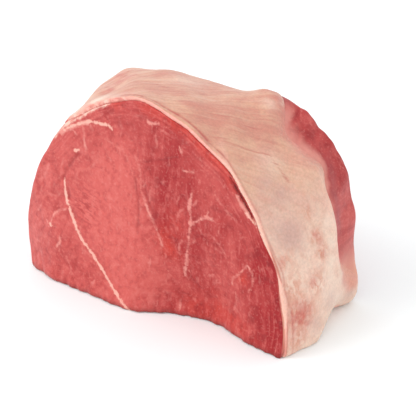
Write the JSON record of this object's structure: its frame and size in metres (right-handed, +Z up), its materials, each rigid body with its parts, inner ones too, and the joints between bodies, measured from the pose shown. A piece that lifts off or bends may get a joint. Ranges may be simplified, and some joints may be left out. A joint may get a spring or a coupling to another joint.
{
  "type": "beef knuckle roast",
  "caption": "Raw beef knuckle roast: a D-shaped slab of red lean with a flat cut face, a fat cover over its round side and a bare strip of lean along the rear edge.",
  "frame": {"origin": "on the floor, under the middle of the bounding box", "axes": "+Z up from the flat underside, +X along the cut face from its rounder left end to its pointed right toe, -Y out of the front cut face"},
  "size_m": [0.2292, 0.103, 0.1535],
  "materials": {
    "lean": "moist raw muscle, coral to crimson, with pale seams and marbling",
    "fat": "moist raw fat and silverskin, cream to pale pink, streaked with red"
  },
  "bodies": {
    "root": {"lean": "lean", "fat_cover": "fat"}
  },
  "joints": []
}
